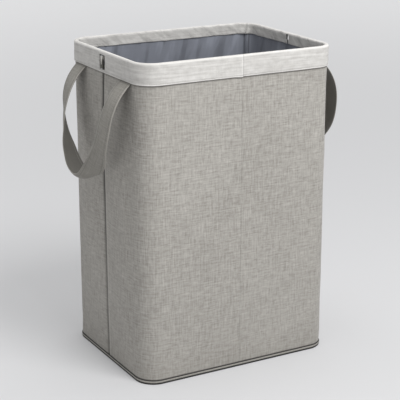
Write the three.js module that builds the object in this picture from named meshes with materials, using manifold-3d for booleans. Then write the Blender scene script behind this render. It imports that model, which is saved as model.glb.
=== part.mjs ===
// A tall cloth laundry hamper with rounded corners, an off-white canvas band round its mouth,
// a slate lining, a cloth divider that makes two bins, and a webbing loop on each short side.
// Its short sides are creased down the middle and fold inwards, so that it closes flat.
// Millimetres. X runs along the long side, -Y is the front, +Z is up.
// The origin is at the middle of the base, on the floor.

import * as THREE from "three";
import { mergeVertices } from "three/addons/utils/BufferGeometryUtils.js";
import Module from "manifold-3d";

const wasm = await Module();
wasm.setup();

// Outside of the hamper, measured over the band
const bodyWidth = 412;
const bodyDepth = 314;
const bodyHeight = 610;
const cornerRadius = 40;

// Plies of the wall, from the outside in, and the gap between plies
const clearance = 0.3;
const bandThick = 1.7;
const coverThick = 1.5;
const sheetThick = 1.6;
const liningThick = 1.2;

// Canvas band: height outside, height of the part turned down inside, and the slot at each mid-side
const bandHeight = 40;
const turnDownHeight = 22;
const slotHalfWidth = 9;
const slotTopMargin = 7;

// The cover is sewn in under the band by this much
const coverTuck = 4;

// Folding sides: gap left at each crease, how far short of a corner crease the stiff sheets and
// the rim end, and the steepest fold
const creaseGap = 0.6;
const sheetSetBack = 7.5;
const foldMaxDeg = 85;

// Rim hinge at each mid-side
const pinRadius = 1.2;
const pinHeadRadius = 2.2;
const pinHeadThick = 1.2;
const knuckleRadius = 3.4;
const knuckleMidHeight = 10;
const knuckleEndHeight = 6;
const armThick = 2.2;
const armInset = 0.9;
const armOverlap = 6;

// Welt round the foot
const weltHeight = 9;
const weltSetBack = 0.7;

// Base: sewn floor cloth and two stiff boards that rise in a ridge as the sides fold
const floorClothThick = 1.5;
const boardThick = 3;
const boardSideClearance = 3;
const boardSteps = 12;

// Cloth divider between the two bins, its top edge this far below the rim
const dividerThick = 1.6;
const dividerTopDrop = 110;
const dividerFootGap = 3;
const dividerWave = 3;
const dividerWaves = 1.5;
const dividerSteps = 24;
const bindingThick = 4;
const bindingHeight = 12;
const tapeThick = 1;
const tapeWidth = 22;
const tapeFootHeight = 24;

// Handle loops of webbing
const strapWidth = 42;
const strapThick = 1.5;
const strapCornerGap = 1.4;
const strapDrop = 189;
const strapReach = 48;
const strapLean = 40;
const strapFullness = 2.35;
const frontTwistPower = 8;
const backTwistPower = 1.9;
const strapSteps = 22;
const tabHeight = 26;

// Facets of a rounded corner and of a pin
const cornerSegments = 7;
const pinSegments = 12;

// Depths of each ply's faces under the band's outer face
const bandInner = bandThick;
const coverOuter = bandInner + clearance;
const coverInner = coverOuter + coverThick;
const sheetOuter = coverInner + clearance;
const sheetInner = sheetOuter + sheetThick;
const liningOuter = sheetInner + clearance;
const liningInner = liningOuter + liningThick;
const turnOuter = liningInner + clearance;
const turnInner = turnOuter + bandThick;
const tapeInner = liningInner + clearance + tapeThick;
const dividerEnd = tapeInner + clearance;

// Heights
const dividerTopZ = bodyHeight - dividerTopDrop;
const hemZ = bodyHeight - bandHeight;
const turnDownZ = bodyHeight - turnDownHeight;
const slotTopZ = bodyHeight - slotTopMargin;
const plyTopZ = bodyHeight - bandThick - clearance;
const coverFootZ = weltHeight + clearance;
const coverTopZ = hemZ + coverTuck;
const sheetTopZ = coverTopZ + coverThick;
const rimFootZ = sheetTopZ + clearance;
const plyFootZ = floorClothThick + clearance;
const boardTopZ = plyFootZ + boardThick;
const dividerFootZ = boardTopZ + dividerFootGap;

// Plan places: corner centres, corner hinges at the innermost face, mid hinges at the outermost
const cornerX = bodyWidth / 2 - cornerRadius;
const cornerY = bodyDepth / 2 - cornerRadius;
const sideEndY = cornerY - creaseGap;
const sheetEndY = sideEndY - sheetSetBack;
const midStartY = creaseGap / 2;
const cornerHingeX = bodyWidth / 2 - turnInner - clearance;
const cornerHingeY = cornerY - creaseGap / 2;
const midHingeX = bodyWidth / 2 + clearance;
const boardHingeY = bodyDepth / 2 - dividerEnd;
const strapY = sideEndY - strapCornerGap - strapWidth / 2;

// Finishes, read off the photograph
const coverCloth = { color: 0xa9a59d, roughness: 0.95, metalness: 0 };
const bandCanvas = { color: 0xdad8d2, roughness: 0.9, metalness: 0 };
const liningCloth = { color: 0x6f727c, roughness: 0.9, metalness: 0 };
const strapWebbing = { color: 0x9a968c, roughness: 0.95, metalness: 0 };
const sheetPlastic = { color: 0xd8d6cf, roughness: 0.6, metalness: 0 };
const rimPlastic = { color: 0xcfcdc6, roughness: 0.5, metalness: 0 };
const pinSteel = { color: 0xb8babc, roughness: 0.35, metalness: 1 };
const hookTape = { color: 0x4d5058, roughness: 0.95, metalness: 0 };

function toManifold(geometry) {
  const plain = geometry.clone();
  plain.deleteAttribute("normal");
  plain.deleteAttribute("uv");
  const merged = mergeVertices(plain, 1e-4);
  const vertProperties = merged.attributes.position.array;
  const triVerts = new Uint32Array(merged.index.array);
  return new wasm.Manifold(new wasm.Mesh({ numProp: 3, vertProperties, triVerts }));
}

function toGeometry(solid) {
  const mesh = solid.getMesh();
  const geometry = new THREE.BufferGeometry();
  geometry.setAttribute("position", new THREE.BufferAttribute(mesh.vertProperties, 3));
  geometry.setIndex(new THREE.BufferAttribute(mesh.triVerts, 1));
  geometry.computeVertexNormals();
  return geometry;
}

function join(...geometries) {
  return toGeometry(geometries.map(toManifold).reduce((a, b) => a.add(b)));
}

function cut(geometry, ...tools) {
  return toGeometry(tools.map(toManifold).reduce((a, b) => a.subtract(b), toManifold(geometry)));
}

function addPiece(parent, name, geometry, finish) {
  const mesh = new THREE.Mesh(geometry, new THREE.MeshStandardMaterial(finish));
  mesh.name = name;
  parent.add(mesh);
}

// A box between two corners, whichever way round they are given
function boxBetween(xa, xb, ya, yb, za, zb) {
  const geometry = new THREE.BoxGeometry(Math.abs(xb - xa), Math.abs(yb - ya), Math.abs(zb - za));
  geometry.translate((xa + xb) / 2, (ya + yb) / 2, (za + zb) / 2);
  return geometry;
}

function extrudeUp(shape, lowZ, highZ) {
  const geometry = new THREE.ExtrudeGeometry(shape, {
    depth: highZ - lowZ,
    bevelEnabled: false,
    curveSegments: cornerSegments,
  });
  geometry.translate(0, 0, lowZ);
  return geometry;
}

// Plan outline of one ply of the front wall: along the front and round both corners, ending
// setBack short of each corner crease
function frontPlyShape(outer, inner, setBack) {
  const shape = new THREE.Shape();
  const quarter = Math.PI / 2;
  const start = 2 * quarter + setBack / cornerRadius;
  const end = 4 * quarter - setBack / cornerRadius;
  shape.absarc(-cornerX, -cornerY, cornerRadius - outer, start, 3 * quarter, false);
  shape.absarc(cornerX, -cornerY, cornerRadius - outer, 3 * quarter, end, false);
  shape.absarc(cornerX, -cornerY, cornerRadius - inner, end, 3 * quarter, true);
  shape.absarc(-cornerX, -cornerY, cornerRadius - inner, 3 * quarter, start, true);
  shape.closePath();
  return shape;
}

function frontPly(outer, inner, lowZ, highZ, setBack = 0) {
  return extrudeUp(frontPlyShape(outer, inner, setBack), lowZ, highZ);
}

// The band is one folded strip: outside skin, top fold and the part turned down inside
function frontBand() {
  return join(
    frontPly(0, bandInner, hemZ, bodyHeight),
    frontPly(0, turnInner, bodyHeight - bandThick, bodyHeight),
    frontPly(turnOuter, turnInner, turnDownZ, bodyHeight),
  );
}

// A tape on the inside of a long wall that the divider's end is sewn to
function dividerTape() {
  return boxBetween(
    -tapeWidth / 2,
    tapeWidth / 2,
    -(bodyDepth / 2 - liningInner - clearance),
    -(bodyDepth / 2 - tapeInner),
    tapeFootHeight,
    dividerTopZ,
  );
}

// One long wall with its two corners. The back wall is the same, turned half round.
function longWall(prefix, turn) {
  const wall = new THREE.Group();
  wall.rotation.z = turn;
  const cover = frontPly(coverOuter, coverInner, coverFootZ, coverTopZ);
  const stiffener = frontPly(sheetOuter, sheetInner, plyFootZ, sheetTopZ, sheetSetBack);
  const lining = frontPly(liningOuter, liningInner, plyFootZ, plyTopZ);
  const rimStrip = frontPly(coverOuter, sheetInner, rimFootZ, plyTopZ, sheetSetBack);
  addPiece(wall, prefix + "_cover", cover, coverCloth);
  addPiece(wall, prefix + "_stiffener", stiffener, sheetPlastic);
  addPiece(wall, prefix + "_lining", lining, liningCloth);
  addPiece(wall, prefix + "_rim_strip", rimStrip, rimPlastic);
  addPiece(wall, prefix + "_welt", frontPly(weltSetBack, coverInner, 0, weltHeight), coverCloth);
  addPiece(wall, prefix + "_divider_tape", dividerTape(), hookTape);
  return wall;
}

// The front band's two ends meet at a seam in the middle of the front
function seamCutter(side) {
  return boxBetween(
    -side * clearance / 2,
    side * bodyWidth,
    -bodyDepth,
    bodyDepth,
    0,
    2 * bodyHeight,
  );
}

function frontWall() {
  const wall = longWall("front", 0);
  addPiece(wall, "front_band_left", cut(frontBand(), seamCutter(1)), bandCanvas);
  addPiece(wall, "front_band_right", cut(frontBand(), seamCutter(-1)), bandCanvas);
  return wall;
}

function backWall() {
  const wall = longWall("back", Math.PI);
  addPiece(wall, "back_band", frontBand(), bandCanvas);
  return wall;
}

// One ply of half a short side. side is 1 on the right, end is 1 at the back.
function sidePly(side, end, outer, inner, lowZ, highZ, farY = sideEndY) {
  return boxBetween(
    side * (bodyWidth / 2 - outer),
    side * (bodyWidth / 2 - inner),
    end * midStartY,
    end * farY,
    lowZ,
    highZ,
  );
}

// The slot in the band that leaves the rim hinge free to bend
function slotCutter(side) {
  return boxBetween(
    side * (bodyWidth / 2 - bandInner - clearance),
    side * bodyWidth,
    -slotHalfWidth,
    slotHalfWidth,
    0,
    slotTopZ,
  );
}

function sideBand(side, end) {
  return cut(
    join(
      sidePly(side, end, 0, bandInner, hemZ, bodyHeight),
      sidePly(side, end, 0, turnInner, bodyHeight - bandThick, bodyHeight),
      sidePly(side, end, turnOuter, turnInner, turnDownZ, bodyHeight),
    ),
    slotCutter(side),
  );
}

// Heights of the knuckles on the hinge: the back link has the middle one, the front link the ends
const knuckleMidZ = (rimFootZ + slotTopZ) / 2;
const knuckleEdge = knuckleMidHeight / 2;

function knuckleSpans(end) {
  if (end > 0) {
    return [[knuckleMidZ - knuckleEdge, knuckleMidZ + knuckleEdge]];
  }
  const near = knuckleEdge + clearance;
  const far = near + knuckleEndHeight;
  return [
    [knuckleMidZ - far, knuckleMidZ - near],
    [knuckleMidZ + near, knuckleMidZ + far],
  ];
}

function uprightCylinder(x, radius, lowZ, highZ) {
  const geometry = new THREE.CylinderGeometry(radius, radius, highZ - lowZ, pinSegments);
  geometry.rotateX(Math.PI / 2);
  geometry.translate(x, 0, (lowZ + highZ) / 2);
  return geometry;
}

// A link of the rim: a strip inside the band with an arm and a knuckle at each of its spans
function rimLink(side, end) {
  const innerX = side * (bodyWidth / 2 - sheetInner);
  const outerX = side * (bodyWidth / 2 - coverOuter);
  const stripStart = end * (slotHalfWidth + clearance);
  const strip = boxBetween(innerX, outerX, stripStart, end * sheetEndY, rimFootZ, plyTopZ);
  const armX = outerX - side * armThick;
  const armEnd = stripStart + end * armOverlap;
  const parts = knuckleSpans(end).flatMap(([lowZ, highZ]) => [
    boxBetween(armX, outerX, end * armInset, armEnd, lowZ, highZ),
    uprightCylinder(side * midHingeX, knuckleRadius, lowZ, highZ),
  ]);
  const hole = uprightCylinder(side * midHingeX, pinRadius + clearance, rimFootZ, slotTopZ);
  return cut(join(strip, ...parts), hole);
}

// The hinge pin, with a head at each end just clear of the outer knuckles
function rimPin() {
  const reach = knuckleEdge + 2 * clearance + knuckleEndHeight;
  const profile = [
    [0, -reach - pinHeadThick],
    [pinHeadRadius, -reach - pinHeadThick],
    [pinHeadRadius, -reach],
    [pinRadius, -reach],
    [pinRadius, reach],
    [pinHeadRadius, reach],
    [pinHeadRadius, reach + pinHeadThick],
    [0, reach + pinHeadThick],
  ];
  const geometry = new THREE.LatheGeometry(
    profile.map(([r, z]) => new THREE.Vector2(r, z)),
    pinSegments,
  );
  geometry.rotateX(Math.PI / 2);
  return geometry;
}

// The sewn end of a handle loop, held between the rim link and the band just over the hem
function handleTab(side, end) {
  return boxBetween(
    side * (bodyWidth / 2 - coverOuter),
    side * (bodyWidth / 2 - coverInner),
    end * (strapY - strapWidth / 2),
    end * (strapY + strapWidth / 2),
    hemZ,
    hemZ + tabHeight,
  );
}

// Room for the sewn end in the plies it is let into
function tabCutter(side, end) {
  return boxBetween(
    side * (bodyWidth / 2 - bandInner),
    side * (bodyWidth / 2 - coverInner - clearance),
    end * (strapY - strapWidth / 2 - clearance),
    end * (strapY + strapWidth / 2 + clearance),
    hemZ - clearance,
    hemZ + tabHeight + clearance,
  );
}

// Half of a short side, from the crease in its middle to the corner
function sideHalf(prefix, side, end) {
  const half = new THREE.Group();
  const room = tabCutter(side, end);
  const cover = cut(sidePly(side, end, coverOuter, coverInner, coverFootZ, coverTopZ), room);
  const stiffener = sidePly(side, end, sheetOuter, sheetInner, plyFootZ, sheetTopZ, sheetEndY);
  const lining = sidePly(side, end, liningOuter, liningInner, plyFootZ, plyTopZ);
  const welt = sidePly(side, end, weltSetBack, coverInner, 0, weltHeight);
  addPiece(half, prefix + "_cover", cover, coverCloth);
  addPiece(half, prefix + "_stiffener", stiffener, sheetPlastic);
  addPiece(half, prefix + "_lining", lining, liningCloth);
  addPiece(half, prefix + "_band", sideBand(side, end), bandCanvas);
  addPiece(half, prefix + "_rim_link", cut(rimLink(side, end), room), rimPlastic);
  addPiece(half, prefix + "_welt", welt, coverCloth);
  addPiece(half, prefix + "_handle_tab", handleTab(side, end), strapWebbing);
  addPiece(half, prefix + "_handle_strap", handleStrap(side, end), strapWebbing);
  return half;
}

// Middle line of half a handle loop, from the hem (share 0) to the bottom of the U (share 1)
function strapPoint(side, end, share) {
  const angle = (share * Math.PI) / 2;
  const acrossShare = Math.cos(angle) ** (2 / strapFullness);
  const downShare = Math.sin(angle) ** (2 / strapFullness);
  const drop = strapDrop * downShare;
  const out = strapReach * (1 - Math.exp(-drop / strapLean));
  const rootX = bodyWidth / 2 - coverOuter + clearance + strapThick / 2;
  const rootZ = hemZ - clearance;
  const across = clearance / 2 + (strapY - clearance / 2) * acrossShare;
  return new THREE.Vector3(side * (rootX + out), end * across, rootZ - drop);
}

// The strap lies flat against the side at the hem, where its end is cut level, and has turned a
// quarter round at the bottom. Its back leg turns early and its front leg late.
function strapSection(side, end, share) {
  const step = 0.5 / strapSteps;
  const centre = strapPoint(side, end, share);
  const before = strapPoint(side, end, Math.max(share - step, 0));
  const after = strapPoint(side, end, Math.min(share + step, 1));
  const along = share > 0 ? after.sub(before).normalize() : new THREE.Vector3(0, 0, -1);
  const downShare = Math.sin((share * Math.PI) / 2) ** (2 / strapFullness);
  const twist = (Math.PI / 2) * downShare ** (end > 0 ? backTwistPower : frontTwistPower);
  const inPlane = new THREE.Vector3(0, along.z, -along.y).multiplyScalar(end).normalize();
  const wide = inPlane.multiplyScalar(Math.cos(twist));
  wide.addScaledVector(new THREE.Vector3(side, 0, 0), Math.sin(twist));
  wide.addScaledVector(along, -wide.dot(along)).normalize();
  const thick = new THREE.Vector3().crossVectors(wide, along);
  return [
    [1, 1],
    [1, -1],
    [-1, -1],
    [-1, 1],
  ].map(([w, t]) =>
    centre
      .clone()
      .addScaledVector(wide, (w * strapWidth) / 2)
      .addScaledVector(thick, (t * strapThick) / 2),
  );
}

// The two wide faces of each twisted step are split along the same diagonal, so they stay apart
function handleStrap(side, end) {
  const corners = 4;
  const positions = [];
  const faces = [];
  for (let i = 0; i <= strapSteps; i++) {
    for (const point of strapSection(side, end, i / strapSteps)) {
      positions.push(point.x, point.y, point.z);
    }
  }
  for (let i = 0; i < strapSteps; i++) {
    for (let j = 0; j < corners; j++) {
      const a = i * corners + j;
      const b = i * corners + ((j + 1) % corners);
      if (j < 2) {
        faces.push([a, b, b + corners], [a, b + corners, a + corners]);
      } else {
        faces.push([a, b, a + corners], [b, b + corners, a + corners]);
      }
    }
  }
  const last = strapSteps * corners;
  faces.push([0, 2, 1], [0, 3, 2]);
  faces.push([last, last + 1, last + 2], [last, last + 2, last + 3]);
  const geometry = new THREE.BufferGeometry();
  geometry.setAttribute("position", new THREE.Float32BufferAttribute(positions, 3));
  geometry.setIndex(faces.flatMap(([a, b, c]) => [a, b, c]));
  geometry.computeVertexNormals();
  return geometry;
}

// Sewn floor cloth, the full plan of the base inside the welt
function floorCloth() {
  const inset = coverInner + clearance;
  const radius = cornerRadius - inset;
  const shape = new THREE.Shape();
  const quarter = Math.PI / 2;
  shape.absarc(-cornerX, -cornerY, radius, 2 * quarter, 3 * quarter, false);
  shape.absarc(cornerX, -cornerY, radius, 3 * quarter, 4 * quarter, false);
  shape.absarc(cornerX, cornerY, radius, 0, quarter, false);
  shape.absarc(-cornerX, cornerY, radius, quarter, 2 * quarter, false);
  shape.closePath();
  return extrudeUp(shape, 0, floorClothThick);
}

// How far a folding side comes in over a board, at a distance from the board's hinge. The board's
// underside tips towards the middle as it rises, by its thickness at most.
function sideSweep(distance) {
  const hingeSetBack = boardHingeY - cornerHingeY;
  const linerStandOff = cornerHingeX - (bodyWidth / 2 - liningInner);
  let sweep = 0;
  for (let degrees = 0; degrees <= foldMaxDeg; degrees++) {
    const fold = THREE.MathUtils.degToRad(degrees);
    const along = distance * Math.cos(fold) + boardThick * Math.sin(fold);
    const pastHinge = along - hingeSetBack;
    sweep = Math.max(sweep, pastHinge * Math.tan(fold) + linerStandOff / Math.cos(fold));
  }
  return sweep;
}

// Half the width of a board: it must stand up between the corners and clear the folding sides
function boardHalfWidth(distance) {
  const innerRadius = cornerRadius - liningInner;
  const flatHalf = cornerX + Math.sqrt(innerRadius ** 2 - (boardHingeY - cornerY) ** 2);
  return Math.min(flatHalf, cornerHingeX - sideSweep(distance)) - boardSideClearance;
}

function floorBoard(end) {
  const reach = boardHingeY - clearance;
  const rightEdge = [];
  for (let i = 0; i <= boardSteps; i++) {
    const distance = (i / boardSteps) * reach;
    rightEdge.push([boardHalfWidth(distance), end * (boardHingeY - distance)]);
  }
  const leftEdge = rightEdge.map(([x, y]) => [-x, y]).reverse();
  const outline = [...rightEdge, ...leftEdge].map(([x, y]) => new THREE.Vector2(x, y));
  return extrudeUp(new THREE.Shape(outline), plyFootZ, boardTopZ);
}

// A strip across the hamper in slack waves, of a given thickness
function waveStrip(thick, lowZ, highZ) {
  const halfSpan = bodyDepth / 2 - dividerEnd;
  const nearSide = [];
  const farSide = [];
  for (let i = 0; i <= dividerSteps; i++) {
    const share = i / dividerSteps;
    const x = dividerWave * Math.sin(2 * Math.PI * dividerWaves * share);
    const y = (2 * share - 1) * halfSpan;
    nearSide.push(new THREE.Vector2(x + thick / 2, y));
    farSide.push(new THREE.Vector2(x - thick / 2, y));
  }
  return extrudeUp(new THREE.Shape([...nearSide, ...farSide.reverse()]), lowZ, highZ);
}

const hamper = new THREE.Group();
hamper.name = "laundry_hamper";
hamper.add(frontWall());
hamper.add(backWall());
for (const [sideName, side] of [
  ["left", -1],
  ["right", 1],
]) {
  for (const [endName, end] of [
    ["front", -1],
    ["back", 1],
  ]) {
    hamper.add(sideHalf(sideName + "_" + endName, side, end));
  }
  const hinge = new THREE.Group();
  hinge.position.set(side * midHingeX, 0, knuckleMidZ);
  addPiece(hinge, sideName + "_rim_pin", rimPin(), pinSteel);
  hamper.add(hinge);
}
addPiece(hamper, "floor_cloth", floorCloth(), coverCloth);
addPiece(hamper, "front_floor_board", floorBoard(-1), liningCloth);
addPiece(hamper, "back_floor_board", floorBoard(1), liningCloth);
const panel = waveStrip(dividerThick, dividerFootZ, dividerTopZ);
const binding = waveStrip(bindingThick, dividerTopZ + clearance, dividerTopZ + bindingHeight);
addPiece(hamper, "divider_panel", panel, liningCloth);
addPiece(hamper, "divider_top_binding", binding, bandCanvas);

export default hamper;
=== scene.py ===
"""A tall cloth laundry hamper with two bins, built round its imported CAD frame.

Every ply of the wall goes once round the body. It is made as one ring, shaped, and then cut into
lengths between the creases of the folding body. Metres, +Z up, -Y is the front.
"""

import math

import bmesh
import bpy
import numpy as np
from bpy.props import FloatProperty, FloatVectorProperty, IntProperty, PointerProperty
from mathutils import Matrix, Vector, noise


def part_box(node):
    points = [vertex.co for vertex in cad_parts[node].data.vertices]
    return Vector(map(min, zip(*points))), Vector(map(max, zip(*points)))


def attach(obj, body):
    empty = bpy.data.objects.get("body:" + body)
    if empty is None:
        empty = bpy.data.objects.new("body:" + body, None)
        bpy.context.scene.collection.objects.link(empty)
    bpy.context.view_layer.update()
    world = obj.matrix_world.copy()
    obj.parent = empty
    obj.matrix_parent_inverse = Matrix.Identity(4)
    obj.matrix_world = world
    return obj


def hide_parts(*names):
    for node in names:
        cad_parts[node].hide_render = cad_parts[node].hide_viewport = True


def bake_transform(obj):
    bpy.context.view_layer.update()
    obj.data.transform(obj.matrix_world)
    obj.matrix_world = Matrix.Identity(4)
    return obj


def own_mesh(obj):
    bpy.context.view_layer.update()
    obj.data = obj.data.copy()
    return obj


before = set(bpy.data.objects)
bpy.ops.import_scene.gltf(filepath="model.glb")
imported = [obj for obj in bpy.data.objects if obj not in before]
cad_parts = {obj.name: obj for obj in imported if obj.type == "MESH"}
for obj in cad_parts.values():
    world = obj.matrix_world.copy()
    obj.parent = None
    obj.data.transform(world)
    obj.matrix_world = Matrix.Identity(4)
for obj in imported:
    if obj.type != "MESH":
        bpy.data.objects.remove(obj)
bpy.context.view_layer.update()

bl_info = {
    "name": "Two-bin laundry hamper",
    "version": (1, 0, 0),
    "blender": (4, 5, 0),
    "location": "View3D > Sidebar > Hamper",
    "description": "Builds a tall folding cloth hamper with canvas band, lining and webbing loops",
    "category": "Add Mesh",
}

MM = 0.001

# Plan of the body, read from the frame
BAND_LOW, BAND_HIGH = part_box("right_front_band")
HALF_WIDTH, BODY_HEIGHT, HEM_Z = BAND_HIGH.x, BAND_HIGH.z, BAND_LOW.z
HALF_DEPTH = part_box("back_band")[1].y
CORNER = 40 * MM
CORE_X = HALF_WIDTH - CORNER
CORE_Y = HALF_DEPTH - CORNER
QUARTER = CORNER * math.pi / 2
GIRTH = 4 * (CORE_X + CORE_Y + QUARTER)

# Depths of the middle of each ply under the band's outer face, and thicknesses
BAND_DEPTH, BAND_THICK = 0.45 * MM, 0.85 * MM
COVER_DEPTH, COVER_THICK = 2.75 * MM, 1.2 * MM
LINING_DEPTH, LINING_THICK = 6.3 * MM, 0.9 * MM
WELT_THICK = 0.4 * MM
# Heights between which the cover and the lining run, and what is held of the lining's top
COVER_LOW, COVER_HIGH = 9 * MM, HEM_Z + 5 * MM
LINING_LOW, LINING_HIGH, LINING_HELD = 2 * MM, BODY_HEIGHT - 2.2 * MM, 24 * MM
WELT_RUN = 10 * MM

# Pitch of the threads of each cloth, and of its stitches
COVER_THREAD, CANVAS_THREAD, LINING_THREAD = 0.55 * MM, 0.45 * MM, 0.35 * MM
STITCH_PITCH = 3.4 * MM

# Cut lines of a ring on the short sides, and the stretch round each corner crease
SIDE_CUT = CORE_Y / 2
CORNER_BEND = (121 * MM, 105 * MM)
SLOT_HALF = 12 * MM
SLOT_TOP = 603 * MM
CORNER_STEPS = 12

# Where the mid-side creases and the front seam lie in a ring's flat map
LEFT_MID = CORE_X + QUARTER + CORE_Y
RIGHT_MID = GIRTH - LEFT_MID
FRONT_MID = GIRTH / 2
FRONT_CORNER = CORE_X + QUARTER / 2
BACK_CORNER = GIRTH / 2 - CORE_X - QUARTER / 2

# The creases wander a little in their upper half
WANDER = 1.2 * MM
WANDER_PITCH = 0.2
WANDER_LOW, WANDER_HIGH = 0.3, 0.55


# ---- Helpers for modelling ----


def leave():
    bpy.ops.object.mode_set(mode="OBJECT")


def rest_hands():
    """Leaves edit mode and deselects everything."""
    if bpy.context.object and bpy.context.object.mode != "OBJECT":
        leave()
    bpy.ops.object.select_all(action="DESELECT")


def pick(piece):
    """Makes piece the only selected object."""
    rest_hands()
    piece.select_set(True)
    bpy.context.view_layer.objects.active = piece


def remove(piece):
    pick(piece)
    bpy.ops.object.delete()


def named(name):
    """The object that was just added, with its name."""
    piece = bpy.context.object
    piece.name = piece.data.name = name
    return piece


def copy_of(piece, name):
    pick(piece)
    bpy.ops.object.duplicate()
    return named(name)


def plane(name, size=1):
    rest_hands()
    bpy.ops.mesh.primitive_plane_add(size=size)
    return named(name)


def grid(name, across, up):
    rest_hands()
    bpy.ops.mesh.primitive_grid_add(x_subdivisions=across, y_subdivisions=up, size=1)
    return named(name)


def take_all():
    bpy.ops.mesh.select_all(action="SELECT")


def edit(piece, kind=None):
    """Opens piece in edit mode with everything selected, by parts of one kind if it is given."""
    pick(piece)
    bpy.ops.object.mode_set(mode="EDIT")
    if kind:
        bpy.ops.mesh.select_mode(type=kind)
    take_all()


def choose(piece, kind, test):
    """Selects the parts of an edited mesh whose middle and direction pass a test."""
    bpy.ops.mesh.select_mode(type=kind)
    bpy.ops.mesh.select_all(action="DESELECT")
    mesh = bmesh.from_edit_mesh(piece.data)
    if kind == "EDGE":
        ends = [(e, *(v.co for v in e.verts)) for e in mesh.edges]
        found = [(e, (a + b) / 2, b - a) for e, a, b in ends]
    elif kind == "FACE":
        found = [(f, f.calc_center_median(), f.normal) for f in mesh.faces]
    else:
        found = [(v, v.co, v.normal) for v in mesh.verts]
    for part, middle, direction in found:
        if test(middle, direction):
            part.select_set(True)
    mesh.select_flush_mode()
    bmesh.update_edit_mesh(piece.data)


def divide(piece, steps, test):
    """Divides the edges that pass a test into steps."""
    choose(piece, "EDGE", test)
    bpy.ops.mesh.subdivide(number_cuts=steps - 1)


def cut_away(piece, test):
    """Deletes the faces whose middle passes a test."""
    edit(piece, "FACE")
    choose(piece, "FACE", lambda middle, normal: test(middle))
    bpy.ops.mesh.delete(type="FACE")
    leave()


def flip(piece):
    """Turns the faces round, so that they look outward again."""
    edit(piece, "FACE")
    bpy.ops.mesh.flip_normals()
    leave()


def inset(*steps):
    """Insets the selected faces again and again, each time by a width and a depth."""
    for thick, depth in steps:
        bpy.ops.mesh.inset(thickness=thick, depth=depth)


def apply(piece, name, **settings):
    """Adds a modifier with these settings and applies it."""
    pick(piece)
    modifier = piece.modifiers.new(name.title(), name)
    for key, value in settings.items():
        setattr(modifier, key, value)
    bpy.ops.object.modifier_apply(modifier=modifier.name)


def smooth(piece, degrees=50):
    pick(piece)
    bpy.ops.object.shade_smooth_by_angle(angle=math.radians(degrees))


def read(parts, key, kind=float, width=1):
    """One property of all of a mesh's parts."""
    values = np.zeros(len(parts) * width, kind)
    parts.foreach_get(key, values)
    return values


def points(piece):
    return read(piece.data.vertices, "co", width=3).reshape(-1, 3)


def set_points(piece, co):
    piece.data.vertices.foreach_set("co", np.asarray(co, float).ravel())
    piece.data.update()


def ease(value, low, high):
    """0 before low, 1 past high and a smooth rise between, on an array."""
    t = np.clip((np.asarray(value, float) - low) / (high - low), 0, 1)
    return t * t * (3 - 2 * t)


def ridge(distance, width):
    """1 at no distance, falling off over a width on both sides."""
    return np.exp(-((distance / width) ** 2))


def grain(co, scale, seed, depth=2):
    """Smooth noise from about -1 to 1 at each point."""
    shift = Vector((seed, 3.1 * seed, 7.7))
    scaled = co * np.asarray(scale, float)
    return np.array([noise.fractal(Vector(p) + shift, 0.8, 2.0, depth) for p in scaled])


def outward(co):
    """The nearest point of the body's core at each point, and the plan direction out of it."""
    core = np.stack([np.clip(co[:, 0], -CORE_X, CORE_X), np.clip(co[:, 1], -CORE_Y, CORE_Y)], 1)
    away = co[:, :2] - core
    length = np.linalg.norm(away, axis=1)
    return core, away / np.maximum(length, 1e-9)[:, None]


def place(co, depth, z=None):
    """Puts points at a depth under the band's outer face, and at heights z if they are given."""
    core, normal = outward(co)
    moved = co.copy()
    moved[:, :2] = core + normal * (CORNER - np.asarray(depth))[..., None]
    if z is not None:
        moved[:, 2] = z
    return moved


def girth_run(co):
    """How far round the body each point is, from the middle of the back and by the left."""
    core, normal = outward(co)
    x, y = np.abs(core[:, 0]), core[:, 1]
    across = np.where(y > -CORE_Y, x, 2 * CORE_X - x)
    run = across + CORE_Y - y + CORNER * np.arccos(np.clip(normal[:, 1], -1, 1))
    return np.where(co[:, 0] <= 0, run, GIRTH - run)


def lay_out(piece, u, v):
    """Gives piece a flat map in metres, from each vertex's place along (u) and up (v) the cloth."""
    mesh = piece.data
    corners = read(mesh.loops, "vertex_index", int)
    starts, totals = (read(mesh.polygons, key, int) for key in ("loop_start", "loop_total"))
    u, v = u[corners], v[corners]
    highest = np.repeat(np.maximum.reduceat(u, starts), totals)
    u = np.where(highest - u > GIRTH / 2, u + GIRTH, u)
    layer = mesh.uv_layers.new(name="weave")
    layer.data.foreach_set("uv", np.stack([u, v], 1).ravel())


def bends(middle, direction):
    """True for the edges of a ring beside its creases, which need finer steps."""
    at_mid = abs(middle.y) < SLOT_HALF and abs(middle.x) > CORE_X
    near_corner = 103 * MM < abs(middle.y) < 123 * MM
    return at_mid or (near_corner and abs(middle.x) > CORE_X + CORNER / 2)


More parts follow.
